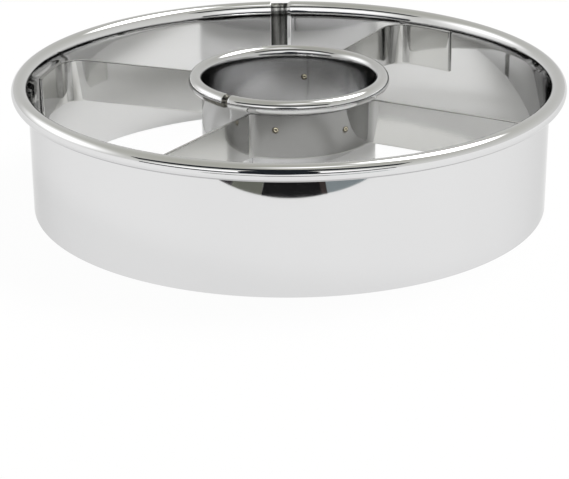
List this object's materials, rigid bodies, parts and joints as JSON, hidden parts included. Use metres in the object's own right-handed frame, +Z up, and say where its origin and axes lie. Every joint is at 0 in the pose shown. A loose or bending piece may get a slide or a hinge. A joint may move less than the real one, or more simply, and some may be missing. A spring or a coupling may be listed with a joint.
{
  "type": "doughnut cutter",
  "caption": "Sheet steel doughnut cutter: a small ring inside a large one, both with rolled top edges, joined by bent strips.",
  "frame": {"origin": "on the two rings' common axis, in the plane of their cutting edges", "axes": "+Z up, from the cutting edges to the rolled beads; -Y to the front as pictured; +X to the right"},
  "size_m": [0.09, 0.09, 0.0213],
  "materials": {
    "bright_stainless": "bright rolled stainless sheet, mirror-like on the beads and slightly satin on the walls and the strips"
  },
  "bodies": {
    "root": {"outer_ring": "bright_stainless", "inner_ring": "bright_stainless", "front_strip": "bright_stainless", "back_strip": "bright_stainless"}
  },
  "joints": []
}
